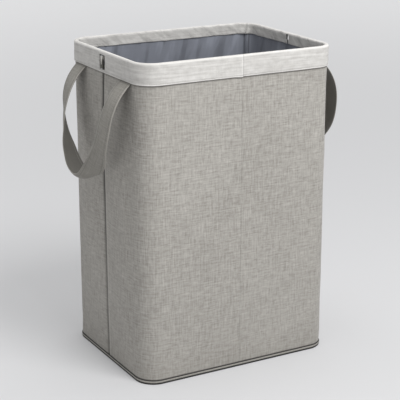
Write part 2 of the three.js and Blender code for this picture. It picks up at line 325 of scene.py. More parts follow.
def ring(name, depth, low, high, rows, side_steps=52, wall_steps=74, fine=True):
    """One closed ring of faces round the body, with the same steps at each of its heights."""
    piece = plane(name)
    edit(piece)
    bpy.ops.transform.resize(value=(2 * (HALF_WIDTH - depth), 2 * (HALF_DEPTH - depth), 1))
    bpy.ops.mesh.bevel(offset=CORNER - depth, segments=CORNER_STEPS, affect="VERTICES")
    take_all()
    bpy.ops.mesh.delete(type="ONLY_FACE")
    divide(piece, wall_steps, lambda middle, edge: abs(edge.x) > CORE_X * 1.5)
    divide(piece, side_steps, lambda middle, edge: abs(edge.y) > CORE_Y)
    if fine:
        divide(piece, 2, bends)
    take_all()
    bpy.ops.transform.translate(value=(0, 0, low))
    bpy.ops.mesh.extrude_edges_move(TRANSFORM_OT_translate={"value": (0, 0, high - low)})
    divide(piece, rows, lambda middle, edge: abs(edge.z) > (high - low) / 2)
    take_all()
    bpy.ops.mesh.normals_make_consistent(inside=False)
    leave()
    set_points(piece, place(points(piece), depth))
    first = piece.data.polygons[0]
    _, n = outward(np.array([first.center]))
    if first.normal.x * n[0, 0] + first.normal.y * n[0, 1] < 0:
        flip(piece)
    return piece


# Lengths that a ring is cut into: the test of a face's middle, its two bodies, on which side of
# the middle its corner crease lies (0 for a mid-side crease), how far it runs round the body, and
# the CAD ply that it stands for. One has a single body: the crease beside it is left to a tuck.
CORNER_RUN = CORE_X + QUARTER + CORE_Y - SIDE_CUT
LENGTHS = {
    "back_left": (
        lambda c: c.x < 0 and c.y > SIDE_CUT, "back_wall", "left_back_side", 1, CORNER_RUN, "back",
    ),
    "left": (
        lambda c: c.x < 0 and abs(c.y) < SIDE_CUT, "left_back_side", "left_front_side", 0,
        2 * SIDE_CUT, "left_back",
    ),
    "front_left": (
        lambda c: c.x < 0 and c.y < -SIDE_CUT, "front_wall", "left_front_side", -1, CORNER_RUN,
        "left_front",
    ),
    "front_right": (
        lambda c: c.x > 0 and c.y < -CORE_Y, "front_wall", None, 0, CORE_X + QUARTER, "front",
    ),
    "right": (
        lambda c: c.x > 0 and -CORE_Y < c.y < SIDE_CUT, "right_back_side", "right_front_side", 0,
        CORE_Y + SIDE_CUT, "right_front",
    ),
    "back_right": (
        lambda c: c.x > 0 and c.y > SIDE_CUT, "back_wall", "right_back_side", 1, CORNER_RUN,
        "right_back",
    ),
}


def cut_ring(whole, ply, finish, thick, held=None, shape=None, stands=()):
    """Cuts a ring into its lengths, gives each its thickness and finish, and hides the frame's ply
    that it stands for; a length with a single body is attached to it.
    """
    for name, (inside, first, second, end, run, stood_for) in LENGTHS.items():
        piece = copy_of(whole, ply + "_" + name)
        cut_away(piece, lambda c: not inside(c))
        if shape:
            shape(piece, name)
        apply(piece, "SOLIDIFY", thickness=thick, offset=0, use_even_offset=True)
        smooth(piece)
        wear(piece, finish)
        if second is None:
            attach(piece, first)
        elif end:
            near, far = (end * y for y in CORNER_BEND)
            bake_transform(piece)
        else:
            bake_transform(piece)
        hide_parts(*dict(stands).get(name, (stood_for + "_" + ply,)))
        if held:
            stiff = [body.rsplit("_", 1)[0] + "_stiffener" for body in (first, second) if body]
    remove(whole)


# ---- Materials ----


def forward(kind):
    return lambda a, b: a.math(kind, a, b)


def reflected(kind):
    return lambda a, b: a.math(kind, b, a)


class Term:
    """A shader value that takes part in sums with numbers and other terms."""

    def __init__(self, look, socket):
        self.look, self.socket = look, socket

    def math(self, kind, a, b=0):
        return self.look.value("MATH", {"operation": kind}, {"Value": a, "Value_001": b})

    __add__, __radd__ = forward("ADD"), reflected("ADD")
    __sub__, __rsub__ = forward("SUBTRACT"), reflected("SUBTRACT")
    __mul__, __rmul__ = forward("MULTIPLY"), reflected("MULTIPLY")
    __truediv__, __rtruediv__ = forward("DIVIDE"), reflected("DIVIDE")
    __pow__, __rpow__ = forward("POWER"), reflected("POWER")

    def __abs__(self):
        return self.math("ABSOLUTE", self)

    def wave(self, pitch):
        """0 to 1 and back once in each pitch."""
        return self.math("SINE", self * (2 * math.pi / pitch)) * 0.5 + 0.5

    def wrapped(self, pitch):
        """How far the value is into its pitch, from 0 to 1."""
        return self.math("FRACT", self / pitch)

    def rise(self, low, high):
        """0 below low and 1 above high, smooth between; the other way round if low is higher."""
        settings = {"interpolation_type": "SMOOTHSTEP", "clamp": True}
        span = {"From Min": min(low, high), "From Max": max(low, high)}
        out = self.look.value("MAP_RANGE", settings, {"Value": self, **span})
        return 1 - out if low > high else out

    def near(self, middle, half):
        """1 at middle, down to 0 at half away."""
        return abs(self - middle).rise(half, 0)


class Look:
    """A material under construction."""

    KINDS = {
        "MATH": "ShaderNodeMath",
        "MAP_RANGE": "ShaderNodeMapRange",
        "NOISE": "ShaderNodeTexNoise",
        "UV": "ShaderNodeUVMap",
        "SPLIT": "ShaderNodeSeparateXYZ",
        "JOIN": "ShaderNodeCombineXYZ",
        "WHERE": "ShaderNodeTexCoord",
        "MIX": "ShaderNodeMix",
        "BUMP": "ShaderNodeBump",
        "LIGHT_PATH": "ShaderNodeLightPath",
        "ATTRIBUTE": "ShaderNodeAttribute",
    }

    def __init__(self, name):
        self.material = bpy.data.materials.new(name)
        self.material.use_nodes = True
        self.tree = self.material.node_tree
        self.shader = self.tree.nodes["Principled BSDF"]

    def node(self, kind, settings, sockets):
        made = self.tree.nodes.new(self.KINDS[kind])
        for key, value in settings.items():
            setattr(made, key, value)
        for key, value in sockets.items():
            self.plug(made, key, value)
        return made

    def plug(self, node, key, value):
        socket = next(s for s in node.inputs if key in (s.identifier, s.name))
        if isinstance(value, Term):
            self.tree.links.new(value.socket, socket)
        elif isinstance(value, (tuple, list)) and len(value) == 3 and socket.type == "RGBA":
            socket.default_value = (*value, 1)
        else:
            socket.default_value = value

    def value(self, kind, settings, sockets, output=0):
        return Term(self, self.node(kind, settings, sockets).outputs[output])

    def split(self, vector):
        outputs = self.node("SPLIT", {}, {"Vector": vector}).outputs
        return [Term(self, socket) for socket in outputs]

    def cloth_map(self):
        """The piece's flat map: along and up, in metres."""
        return self.split(self.value("UV", {"uv_map": "weave"}, {}))[:2]

    def place(self):
        """The piece's own coordinates in metres, together and one by one."""
        where = self.value("WHERE", {}, {}, "Object")
        return where, self.split(where)

    def noise(self, where, scale=1.0, detail=2.0, roughness=0.5):
        """Noise from 0 to 1."""
        sockets = {"Vector": where, "Scale": scale, "Detail": detail, "Roughness": roughness}
        return self.value("NOISE", {}, sockets)

    def cloud(self, x, y, z=0.0, detail=2.0, roughness=0.5):
        """Noise from 0 to 1 at a place that is already scaled."""
        at = self.value("JOIN", {}, {"X": x, "Y": y, "Z": z})
        return self.noise(at, 1.0, detail, roughness)

    def mix(self, factor, a, b):
        sockets = {"Factor_Float": factor, "A_Color": a, "B_Color": b}
        settings = {"data_type": "RGBA", "clamp_factor": True}
        return self.value("MIX", settings, sockets, output=2)

    def shades(self, cloth, colour, layers):
        """Lays tones of a colour over cloth: each has its mask, its gain and perhaps its warmth."""
        for mask, *gain in layers:
            cloth = self.mix(mask, cloth, tone(colour, *gain))
        return cloth

    def finish(self, colour, roughness, height=None, depth=0.0002, strength=0.6, **constants):
        self.plug(self.shader, "Base Color", colour)
        self.plug(self.shader, "Roughness", roughness)
        for key, value in constants.items():
            self.plug(self.shader, key.replace("_", " ").title().replace("Ior", "IOR"), value)
        if height is not None:
            sockets = {"Strength": strength, "Distance": depth, "Height": height}
            self.plug(self.shader, "Normal", self.value("BUMP", {}, sockets))
        return self.material


def tone(colour, gain, warm=0.0):
    """A colour made lighter or darker, and warmer or cooler."""
    r, g, b = colour
    return (r * gain * (1 + warm), g * gain, b * gain * (1 - warm))


def woven(look, u, v, pitch, slub):
    """(shade, height) of a plain weave: threads over and under, and slubs in both directions."""
    over_u, over_v = u.wave(2 * pitch), v.wave(2 * pitch)
    threads = over_u * over_v + (1 - over_u) * (1 - over_v)
    weft = look.cloud(u * 46, v * 480, 0.0, 3.0)
    warp = look.cloud(u * 480, v * 46, 9.0, 3.0)
    weft_long = look.cloud(u * 22, v * 290, 4.0)
    warp_long = look.cloud(u * 290, v * 22, 14.0)
    slubs = (weft + warp - 1) * slub + (weft_long + warp_long - 1) * (slub * 0.65)
    return slubs, threads * 0.5 + (weft + warp) * 0.35


def stitches(row, along):
    """(thread, painted shade in the holes) of a row of stitches, from the row's mask and the place
    along it.
    """
    off_middle = abs(along.wrapped(STITCH_PITCH) - 0.5)
    return row * off_middle.rise(0.40, 0.34), row * off_middle.rise(0.42, 0.47)


def fold_lines(u, v):
    """How far each point is in front of the nearer mid-side crease, as in crease_groove."""
    bend = (v.wave(WANDER_PITCH) * 2 - 1) * v.rise(WANDER_LOW, WANDER_HIGH) * WANDER
    return [u - LEFT_MID + bend, RIGHT_MID - u + bend]


def cover_look(name, colour, walls=True):
    """Linen-like cloth. On the walls also dust at the foot, painted shade in the creases with a
    painted highlight beside each, painted shade along the front seam, a painted shadow under the
    hem, painted shade where the cover meets the welt, and a darkening towards the bottom that is
    partly the cloth's own tone and partly painted shade.
    """
    look = Look(name)
    u, v = look.cloth_map()
    slubs, height = woven(look, u, v, COVER_THREAD, 1.0)
    broad = look.cloud(u * 6, v * 5, 2.0) - 0.5
    mottle = look.cloud(u * 170, v * 170, 12.0, 3.0, 0.65) - 0.5
    fleck = look.cloud(u * 900, v * 900, 6.0, 1.0).rise(0.60, 0.75)
    shade = 0.5 + slubs * 1.1 + mottle * 0.85 + broad * 0.45 + (height - 0.6) * 0.3
    cloth = look.mix(shade, tone(colour, 0.70, 0.015), tone(colour, 1.28, -0.005))
    layers = [(fleck * 0.35, 0.5, 0.02)]
    if walls:
        # Dust at the foot, then the cloth darker towards the bottom: partly its own tone, partly
        # painted shade of the light falling from above
        dust = v.rise(0.07, 0.0) * 0.25 * look.cloud(u * 30, v * 30, 3.0)
        layers += [(dust, 0.62, 0.05), (v.rise(0.4, 0.0) * 0.15, 0.55)]
        # Painted shade down each mid-side crease, stronger higher up, and a painted highlight on
        # the lip just in front of it
        deep = 0.55 + 0.45 * v.rise(0.15, 0.5)
        for ahead in fold_lines(u, v):
            layers += [
                (ahead.near(7.5 * MM, 4.5 * MM) * 0.35, 1.35),
                (ahead.near(-2.2 * MM, 9.0 * MM) * deep * 0.7, 0.28),
                (ahead.near(-1.4 * MM, 3.6 * MM) * deep * 0.8, 0.1),
            ]
        # Painted shade along the front seam's groove, a painted shadow under the band's hem, and
        # painted shade at the foot where the cover meets the welt's groove
        layers += [
            (u.near(FRONT_MID, 2.2 * MM) * 0.22, 0.6),
            (v.rise(HEM_Z - 5.0 * MM, HEM_Z - 1.0 * MM) * 0.6, 0.3),
            (v.rise(11.0 * MM, 9.4 * MM) * 0.7, 0.25),
        ]
    return look.finish(
        look.shades(cloth, colour, layers), 0.84 + broad * 0.1, height, 0.25 * MM, 0.7,
        sheen_weight=0.12, sheen_roughness=0.5, specular_ior_level=0.25,
    )


def canvas_look(name, colour):
    """Slubby canvas with stitched hems and a lapped seam; painted shade on the inside face and in
    its corner pleat folds, painted light and shade of wrinkles inside, painted highlights on the
    folded edges and the lap's edge, a painted shadow beside the lap, and painted shade under the
    hem's fold and in the stitch holes.
    """
    look = Look(name)
    u, v = look.cloth_map()
    slubs, height = woven(look, u, v, CANVAS_THREAD, 0.45)
    broad = look.cloud(u * 8, v * 30, 2.0) - 0.5
    streak = look.cloud(u * 11, v * 270, 7.0, 3.0) - 0.5
    pucker = look.cloud(u * 70, v * 100, 17.0, 3.0) - 0.5
    # Painted light and shade of soft wrinkles, laid on the inside face
    wrinkle_shading = look.cloud(u * 55 + v * 60, v * 34, 23.0, 3.0, 0.6) - 0.5
    shade = 0.5 + slubs * 0.6 + streak * 1.7 + pucker * 1.3 + broad * 0.5 + (height - 0.6) * 0.25
    inside, outside = v.rise(CROWN_V, CROWN_V + 4 * MM), v.rise(CROWN_V, CROWN_V - 4 * MM)
    # Painted highlights where the canvas turns over at the crown and at the hem's edge
    edge = v.near(CROWN_V - 4.2 * MM, 2.4 * MM) + v.near(STITCH_V - 1.6 * MM, 1.8 * MM)
    around = abs(u - FRONT_MID)
    pleat = around.near(BACK_CORNER, 5 * MM) + around.near(FRONT_CORNER, 5 * MM)
    hem_end = u.near(FRONT_MID + 3 * MM, 7 * MM) * v.near(STITCH_V - 3.5 * MM, 3.5 * MM)
    stitch, shaded_hole = stitches(abs(v - STITCH_V).rise(0.55 * MM, 0.3 * MM), u)
    cloth = look.mix(shade, tone(colour, 0.80, 0.01), tone(colour, 1.13))
    cloth = look.shades(cloth, colour, [
        # Painted shade over the whole inside face, and painted light and shade of its wrinkles
        (inside * 0.5, 0.82),
        (wrinkle_shading.rise(0.0, 0.16) * inside * 0.5, 0.5),
        (wrinkle_shading.rise(-0.02, -0.16) * inside * 0.5, 1.15),
        # Painted highlights on the folded edges, and painted shade on the underside of the hem's
        # fold
        (edge * 0.55, 1.24),
        (v.near(STITCH_V - 4.4 * MM, 1.8 * MM) * 0.3, 0.6),
        # Painted shade in the pleats at the corners inside
        (pleat * inside * 0.45, 0.4),
        # A painted highlight on the lap's edge and a painted shadow just past it
        (u.near(FRONT_MID - 1.8 * MM, 2.4 * MM) * outside * 0.6, 1.25),
        (u.near(FRONT_MID + 0.6 * MM, 2.6 * MM) * outside * 0.55, 0.5),
        (hem_end * 0.6, 0.3),
        (stitch * 0.6, 0.86, 0.03),
        (shaded_hole * 0.8, 0.35, 0.02),
    ])
    bumps = height + stitch * 2.0 - shaded_hole * 3.0 + streak * 2.5 + pucker * 3.0
    return look.finish(
        cloth, 0.80 + broad * 0.1, bumps, 0.3 * MM, 0.6,
        sheen_weight=0.08, sheen_roughness=0.5, specular_ior_level=0.25,
    )


def lining_look(name, colour, pleat_shade=False):
    """Fine slate cloth, worn paler in places, with painted light and shade of soft wrinkles, and
    painted shade along each corner pleat if pleat_shade is set.
    """
    look = Look(name)
    u, v = look.cloth_map()
    slubs, height = woven(look, u, v, LINING_THREAD, 0.35)
    broad = look.cloud(u * 7, v * 7, 2.0, 3.0) - 0.5
    worn = look.cloud(u * 24, v * 24, 5.0, 3.0).rise(0.55, 0.8)
    # Painted light and shade of soft wrinkles
    wrinkle_shading = look.cloud(u * 34 + v * 9, v * 7, 8.0, 3.0) - 0.5
    shade = 0.5 + slubs * 0.7 + broad * 0.5
    cloth = look.mix(shade, tone(colour, 0.84), tone(colour, 1.14))
    layers = [
        (worn * 0.15, 1.45, 0.02),
        (wrinkle_shading.rise(0.01, 0.16) * 0.5, 1.55),
        (wrinkle_shading.rise(-0.01, -0.16) * 0.6, 0.5),
    ]
    # Painted shade over each corner pleat, deepest either side of its fold
    if pleat_shade:
        around = abs(u - FRONT_MID)
        for middle in (BACK_CORNER, FRONT_CORNER):
            layers += [
                (around.near(middle, 9 * MM) * 0.35, 0.45),
                (around.near(middle - 6 * MM, 3 * MM) * 0.6, 0.2),
                (around.near(middle + 6 * MM, 3 * MM) * 0.6, 0.2),
            ]
    return look.finish(
        look.shades(cloth, colour, layers), 0.62 + broad * 0.2, height, 0.12 * MM, 0.5,
        sheen_weight=0.15, sheen_roughness=0.4, specular_ior_level=0.35,
    )


def strap_look(name, colour, half):
    """Cover cloth folded to a strap with two rows of stitching; painted highlights on its folded
    edges, and painted shade beside the stitching, in the stitch holes, on its lower part, at its
    sewn root and on its inner face.
    """
    look = Look(name)
    u, v = look.cloth_map()
    slubs, height = woven(look, u, v, COVER_THREAD, 0.9)
    # A painted highlight along each folded edge, and painted shade in the furrow inside each row of
    # stitching
    edge = abs(u).rise(half - 3.0 * MM, half)
    groove = abs(abs(u) - (half - 5.2 * MM)).rise(2.2 * MM, 0.6 * MM)
    # The face turned towards the wall, which is painted in shade
    inner = look.value("ATTRIBUTE", {"attribute_name": "inner"}, {}, "Fac")
    stitch, shaded_hole = stitches(abs(abs(u) - (half - 4.0 * MM)).rise(0.6 * MM, 0.3 * MM), v)
    shade = 0.5 + slubs * 0.9 + (height - 0.6) * 0.3
    cloth = look.mix(shade, tone(colour, 0.74, 0.01), tone(colour, 1.25))
    cloth = look.shades(cloth, colour, [
        (edge * 0.7, 1.45),
        (groove * 0.4, 0.55),
        # Painted shade on the lower part, which turns away from the light, and a painted shadow at
        # the root, where the strap goes in under the hem
        (v.rise(0.10, 0.19) * 0.35, 0.62),
        (v.rise(7 * MM, 1 * MM) * 0.6, 0.3),
        (inner * 0.85, 0.58),
        (stitch * 0.5, 1.5),
        (shaded_hole * 0.8, 0.3),
    ])
    return look.finish(
        cloth, 0.85 - edge * 0.05, height + stitch * 2.0 - shaded_hole * 3.0, 0.25 * MM, 0.6,
        sheen_weight=0.1, sheen_roughness=0.5, specular_ior_level=0.25,
    )


def welt_look(name, colour, edge_colour):
    """Piping cloth over a near-black edge strip, with painted shade in the groove above it."""
    look = Look(name)
    u, v = look.cloth_map()
    _, (_, _, z) = look.place()
    slubs, height = woven(look, u, v, COVER_THREAD, 0.8)
    cloth = look.mix(0.5 + slubs, tone(colour, 0.82), tone(colour, 1.2))
    foot = z.rise(3.5 * MM, 3.1 * MM)
    # Painted shade where the welt runs up into the groove behind the cover's foot
    seam = z.rise(6.7 * MM, 7.2 * MM)
    cloth = look.mix(seam * 0.95, cloth, tone(edge_colour, 1.1))
    cloth = look.mix(foot, cloth, edge_colour)
    return look.finish(cloth, 0.85 - foot * 0.15, height, 0.2 * MM, 0.5, specular_ior_level=0.25)


def moulded_look(name, colour, dark, keep_pale, pale_foot):
    """Moulded plastic of the rim: pale at the upper knuckles, with the arms, one side of each
    knuckle and the foot painted near-black as the shade deep in the slots.
    """
    look = Look(name)
    where, (_, y, z) = look.place()
    fine, broad = look.noise(where, 900.0), look.noise(where, 40.0, 3.0)
    # Pale only in a strip set a little to one side of each knuckle's middle and narrowing towards
    # its foot; the rest is painted near-black as shade in the slot
    narrow = z.rise(pale_foot + 14 * MM, pale_foot) * keep_pale * 0.8
    away = (abs(y + 2.0 * MM) + narrow).rise(keep_pale, keep_pale + 0.4 * MM)
    plastic = look.mix(broad.rise(0.55, 0.75) * 0.2, colour, tone(colour, 0.8, 0.03))
    plastic = look.mix(away, plastic, dark)
    plastic = look.mix(z.rise(pale_foot, pale_foot - 1 * MM), plastic, dark)
    return look.finish(plastic, 0.5 + broad * 0.15, fine, 0.03 * MM, 0.3)


def sheet_look(name, colour):
    """Plain matt sheet, a little uneven in tone."""
    look = Look(name)
    where, _ = look.place()
    fine, broad = look.noise(where, 1400.0), look.noise(where, 18.0, 4.0)
    plastic = look.mix(broad, tone(colour, 0.86, 0.02), tone(colour, 1.06))
    return look.finish(plastic, 0.55 + broad * 0.15, fine, 0.02 * MM, 0.4)


def steel_look(name, colour):
    """Drawn steel with dull spots."""
    look = Look(name)
    where, (_, _, z) = look.place()
    drawn = look.cloud(z * 60, z * 4000, 1.0)
    spots = look.noise(where, 700.0).rise(0.6, 0.75)
    metal = look.mix(spots * 0.5, tone(colour, 0.95), tone(colour, 0.55, 0.1))
    return look.finish(metal, 0.28 + drawn * 0.2, drawn, 0.02 * MM, 0.3, metallic=1.0)


def tape_look(name, colour):
    """Hook tape: rows of small hooks and a plain sewn edge."""
    look = Look(name)
    _, (x, _, z) = look.place()
    fuzz = look.cloud(x * 800, z * 800, 1.0)
    hooked = x.wave(1.2 * MM) * z.wave(1.5 * MM) * (1 - abs(x).rise(9.2 * MM, 9.5 * MM))
    cloth = look.mix(hooked * 0.7 + fuzz * 0.3, tone(colour, 0.6), tone(colour, 1.5))
    row = abs(abs(x) - 9.9 * MM).rise(0.35 * MM, 0.2 * MM)
    stitch = row * abs(z.wrapped(3.2 * MM) - 0.5).rise(0.42, 0.36)
    cloth = look.mix(stitch * 0.8, cloth, tone(colour, 2.6))
    return look.finish(cloth, 0.8 + fuzz * 0.1, hooked + stitch, 0.4 * MM, 0.6)


def wear(piece, material):
    """Gives piece its one material."""
    piece.data.materials.clear()
    piece.data.materials.append(material)


# ---- Settings ----


class HamperColours(bpy.types.PropertyGroup):
    """Colours of the hamper's cloths, linear."""

    cover: FloatVectorProperty(
        name="Cover", description="Linen-like cloth of the walls", subtype="COLOR",
        size=3, min=0, max=1, default=(0.400, 0.382, 0.352),
    )
    band: FloatVectorProperty(
        name="Band", description="Canvas round the mouth", subtype="COLOR",
        size=3, min=0, max=1, default=(0.64, 0.626, 0.602),
    )
    lining: FloatVectorProperty(
        name="Lining", description="Cloth inside the body", subtype="COLOR",
        size=3, min=0, max=1, default=(0.215, 0.227, 0.262),
    )
    strap: FloatVectorProperty(
        name="Loops", description="Cloth of the carrying loops", subtype="COLOR",
        size=3, min=0, max=1, default=(0.300, 0.287, 0.260),
    )
    foot_edge: FloatVectorProperty(
        name="Foot edge", description="Dark strip under the welt", subtype="COLOR",
        size=3, min=0, max=1, default=(0.035, 0.034, 0.032),
    )


class HamperSizes(bpy.types.PropertyGroup):
    """Fullness of the soft parts."""

    side_bulge: FloatProperty(
        name="Side bulge", description="How far the short sides stand out at mid-height",
        unit="LENGTH", default=6 * MM, min=0, max=12 * MM,
    )
    front_bulge: FloatProperty(
        name="Wall bulge", description="How far the long walls stand out at mid-height",
        unit="LENGTH", default=2 * MM, min=0, max=6 * MM,
    )
    lining_fold: FloatProperty(
        name="Lining fold", description="Most that a fold of the lining stands off its wall",
        unit="LENGTH", default=8 * MM, min=0, max=12 * MM,
    )
    lining_slack: FloatProperty(
        name="Lining slack", description="Spare width of the lining as a share of the wall",
        default=0.05, min=0, max=0.08,
    )
    sim_frames: IntProperty(
        name="Settling steps", description="Steps of the cloth simulation",
        default=24, min=1, max=60,
    )


# ---- Pieces ----


def cover_swell(co, sizes):
    """How far the cover stands out at each point."""
    x, y, z = np.abs(co[:, 0]), np.abs(co[:, 1]), co[:, 2]
    tall = np.sin(np.pi * np.clip(z / HEM_Z, 0, 1)) ** 0.8
    turn = CORNER * 0.9
    on_side = ease(x, CORE_X, CORE_X + turn) * ease(CORE_Y - y, -6 * MM, 40 * MM)
    on_wall = ease(y, CORE_Y, CORE_Y + turn) * ease(CORE_X - x, -6 * MM, 60 * MM)
    swell = sizes.side_bulge * tall * on_side * (1 - 0.55 * ridge(y, 26 * MM))
    swell += sizes.front_bulge * tall * on_wall
    soft = grain(co, (9, 9, 5), 3) * 1.3 * MM
    calm = np.minimum(ease(np.abs(y - SIDE_CUT), 0, 14 * MM) + (y > CORE_Y), 1)
    fine = grain(co, (34, 34, 18), 11) * 0.45 * MM * calm
    fade = ease(z, 8 * MM, 40 * MM) * ease(HEM_Z - z, 0, 30 * MM)
    return swell + (soft + fine) * fade


def crease_groove(co):
    """The fold line down the middle of each short side, and the seam down each long wall."""
    x, y, z = co[:, 0], co[:, 1], co[:, 2]
    wander = WANDER * np.sin(2 * math.pi * z / WANDER_PITCH) * ease(z, WANDER_LOW, WANDER_HIGH)
    ahead = wander - y
    on_side, on_wall = np.abs(x) > CORE_X, np.abs(y) > CORE_Y
    line = 1.5 * MM * ridge(ahead, 3.2 * MM) * on_side
    lip = 0.4 * MM * ridge(ahead - 7.0 * MM, 3.6 * MM) * on_side
    seam = 0.6 * MM * ridge(x, 2.4 * MM) * on_wall
    return line - lip + seam


class HAMPER_OT_cover(bpy.types.Operator):
    """Cloth cover of the four walls, with its pressed creases and the seams down the long walls"""

    bl_idname = "hamper.cover"
    bl_label = "Cover"

    def execute(self, context):
        sizes, colours = context.scene.hamper_sizes, context.scene.hamper_colours
        whole = ring("cover", COVER_DEPTH, COVER_LOW, COVER_HIGH, rows=94)
        co = points(whole)
        lay_out(whole, girth_run(co), co[:, 2])
        out = cover_swell(co, sizes) - crease_groove(co)
        set_points(whole, place(co, COVER_DEPTH - out))
        finish = cover_look("cover cloth", tuple(colours.cover))
        cut_ring(
            whole, "cover", finish, COVER_THICK,
            held="stretched",
        )
        return {"FINISHED"}


# The band's folded strip, from its turned-in hem, up the outside, over the top and down inside:
# depth under the outer face and height under the rim, in mm
BAND_PATH = [
    (1.40, 31), (1.40, 35), (1.40, 38.6), (1.22, 39.25), (0.92, 39.45), (0.60, 39.25),
    (0.45, 38.6), (0.45, 37.7), (0.62, 37.3), (0.62, 36.9), (0.45, 36.5), (0.45, 34), (0.45, 31),
    (0.45, 28), (0.45, 25), (0.45, 22), (0.45, 19), (0.45, 16), (0.45, 13), (0.45, 10), (0.45, 7),
    (0.45, 4.6), (0.62, 3.0), (1.15, 1.7), (2.1, 0.85), (3.3, 0.55), (4.45, 0.47), (5.6, 0.55),
    (6.8, 0.85), (7.75, 1.7), (8.28, 3.0), (8.45, 4.6), (8.45, 7), (8.45, 10), (8.45, 13),
    (8.45, 16), (8.45, 19), (8.45, 20.6), (8.30, 21.2), (8.02, 21.4), (7.75, 21.2), (7.60, 20.6),
    (7.60, 16),
]
# Rows of that path at the hem's fold, on the outside, at the crown, and where the inside starts
# and is full
HEM_ROW, OUTER_ROWS, CROWN_ROW, INNER_ROW, FULL_ROW = 9, (6, 21), 26, 31, 36
BAND_STEPS = np.linalg.norm(np.diff(np.array(BAND_PATH), axis=0), axis=1)
BAND_RUN = np.concatenate([[0], np.cumsum(BAND_STEPS)]) * MM
STITCH_V = BAND_RUN[HEM_ROW] - 0.2 * MM
CROWN_V = BAND_RUN[CROWN_ROW]


def row_of(z, low, high, rows):
    """Which row of a ring or strip each height is on."""
    return np.rint((z - low) / (high - low) * rows).astype(int)


def corner_distance(run):
    """How far round the body each point is from the middle of the nearest corner."""
    around = np.abs(np.asarray(run) - FRONT_MID)
    return np.minimum(np.abs(around - BACK_CORNER), np.abs(around - FRONT_CORNER))


class HAMPER_OT_band(bpy.types.Operator):
    """Canvas band folded over the mouth, with its lapped front seam, hems and mid-side slots"""

    bl_idname = "hamper.band"
    bl_label = "Band"

    def execute(self, context):
        colours = context.scene.hamper_colours
        rows = len(BAND_PATH) - 1
        whole = ring("band", BAND_DEPTH, HEM_Z, BODY_HEIGHT, rows)
        co = points(whole)
        run, row = girth_run(co), row_of(co[:, 2], HEM_Z, BODY_HEIGHT, rows)
        lay_out(whole, run, BAND_RUN[row])
        set_points(whole, place(co, *self.folded(co, run, row)))
        finish = canvas_look("band canvas", tuple(colours.band))
        stands = {
            "front_left": ("front_band_left", "left_front_band"),
            "front_right": ("front_band_right",),
        }
        cut_ring(
            whole, "band", finish, BAND_THICK,
            held="folded", shape=self.shape, stands=stands,
        )
        return {"FINISHED"}

    def folded(self, co, run, row):
        """(depth, height) of each point of the strip, with its pulls, streaks and crumples."""
        depth, drop = (np.array(BAND_PATH) * MM)[row].T
        drift = grain(place(co, 0.0), (7, 7, 0), 21)
        z = BODY_HEIGHT - drop + drift * 0.35 * MM * ease(drop, 0, 5 * MM)
        pull = grain(np.stack([co[:, 0], co[:, 1], z], 1), (22, 22, 40), 8)
        flat = np.stack([run, z, 0 * z], 1)
        streak = grain(flat, (9, 190, 0), 41)
        outer = (row >= OUTER_ROWS[0]) & (row <= OUTER_ROWS[1])
        depth = depth - np.where(outer, np.clip(pull, -1, 1) * 0.35 * MM, 0)
        depth = depth - np.where(outer, np.clip(streak, -1, 1) * 0.45 * MM, 0)
        inner = (row > INNER_ROW) * ease(row, INNER_ROW, FULL_ROW)
        from_corner = corner_distance(run)
        near_corner = 0.7 + 0.9 * ease(from_corner, 60 * MM, 20 * MM)
        crumple = grain(flat, (48, 18, 0), 51, 3) * near_corner
        depth = depth + inner * np.clip(crumple, -0.3, 1.2) * 1.6 * MM
        depth = depth + inner * 3.0 * MM * ridge(from_corner, 4 * MM)
        hem = np.clip(grain(flat[:, [0, 2, 2]], (30, 0, 0), 61), -1, 1) * 0.9 * MM
        return depth, z + (row > FULL_ROW) * hem

    def shape(self, piece, name):
        """Opens the slots at mid-side, and laps the left end over the right at the front."""
        if name in ("left", "right"):
            middle = CORNER + CORE_X - 4.45 * MM
            foot = BODY_HEIGHT - 3.5 * MM

            def open_here(c):
                if abs(c.x) > middle:
                    return abs(c.y) < SLOT_HALF and HEM_Z + 5 * MM < c.z < SLOT_TOP
                width = 4.8 * MM if c.z > foot - 10 * MM else 2.9 * MM
                return abs(c.y) < width and c.z < foot

            cut_away(piece, open_here)
        if name == "front_left":
            co = points(piece)
            near = ease(co[:, 0], -16 * MM, -5 * MM) * (co[:, 1] < -CORE_Y)
            outer = ease(-co[:, 1], HALF_DEPTH - 5 * MM, HALF_DEPTH - 1 * MM)
            co[:, 1] -= 0.9 * MM * near * outer
            co[:, 2] -= 0.8 * MM * near * outer * ease(BODY_HEIGHT - co[:, 2], 5 * MM, 36 * MM)
            co[:, 0] += 0.8 * MM * near * ease(co[:, 0], -3 * MM, 0)
            set_points(piece, co)


# How the slack cloths behave as they settle
CLOTH_SETTINGS = {
    "quality": 4,
    "mass": 0.12,
    "tension_stiffness": 12,
    "compression_stiffness": 12,
    "shear_stiffness": 4,
    "bending_stiffness": 0.6,
    "tension_damping": 8,
}


def settle(piece, rest, pins, sizes):
    """Lets a slack cloth settle with its pinned points held, and returns its points.

    rest holds the points of the cut, which is a little wider than the space it hangs in.
    """
    pick(piece)
    piece.shape_key_add(name="Basis")
    cut = piece.shape_key_add(name="cut")
    cut.data.foreach_set("co", rest.ravel())
    held = piece.vertex_groups.new(name="held")
    held.add([int(i) for i in np.flatnonzero(pins)], 1.0, "REPLACE")
    cloth = piece.modifiers.new("Cloth", "CLOTH")
    for key, value in CLOTH_SETTINGS.items():
        setattr(cloth.settings, key, value)
    cloth.settings.vertex_group_mass = "held"
    cloth.settings.rest_shape_key = cut
    cloth.collision_settings.use_collision = False
    cloth.point_cache.frame_start = 1
    cloth.point_cache.frame_end = sizes.sim_frames
    scene = bpy.context.scene
    for step in range(1, sizes.sim_frames + 1):
        scene.frame_set(step)
    bpy.ops.object.convert(target="MESH")
    scene.frame_set(1)
    return points(bpy.context.object)


